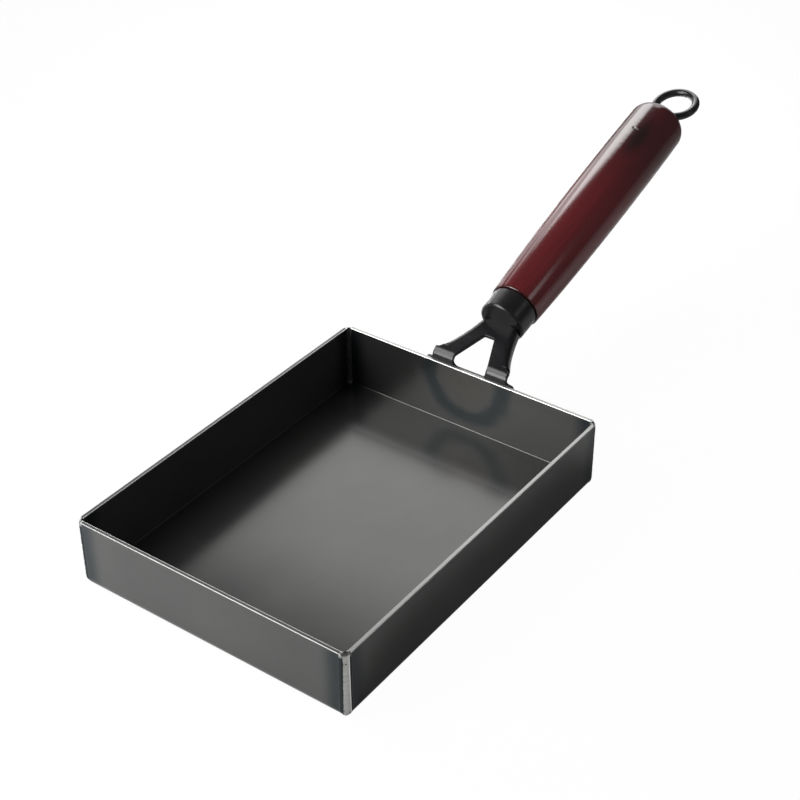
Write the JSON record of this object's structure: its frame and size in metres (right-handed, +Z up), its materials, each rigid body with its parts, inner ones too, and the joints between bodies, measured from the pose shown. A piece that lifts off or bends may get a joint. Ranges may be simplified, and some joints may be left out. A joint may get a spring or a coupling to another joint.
{
  "type": "rectangular omelette pan",
  "caption": "Rectangular omelette pan: a folded steel tray with welded corners, a stamped bracket with two legs, and a turned wooden handle with a hanging eye.",
  "frame": {"origin": "centre of the tray's flat underside, where the pan stands", "axes": "+Z up, +Y from the tray towards the handle, +X to the right seen from the front of the tray"},
  "size_m": [0.154, 0.4258, 0.1151],
  "materials": {
    "blued_steel": "blued, satin",
    "ground_steel": "ground",
    "black_paint": "black, semi-gloss",
    "black_moulding": "black, glossy",
    "lacquered_wood": "dark red lacquer, glossy",
    "plain_steel": "turned",
    "black_wire": "black, glossy"
  },
  "bodies": {
    "root": {"pan_tray": "blued_steel", "corner_weld_front_left": "ground_steel", "corner_weld_front_right": "ground_steel", "corner_weld_back_left": "ground_steel", "corner_weld_back_right": "ground_steel", "handle_bracket": "black_paint", "bracket_weld": "black_paint", "ferrule": "black_moulding", "wood_handle": "lacquered_wood", "tang_bush": "plain_steel", "eye_bolt": "black_wire", "eye_washer": "black_wire"}
  },
  "joints": []
}
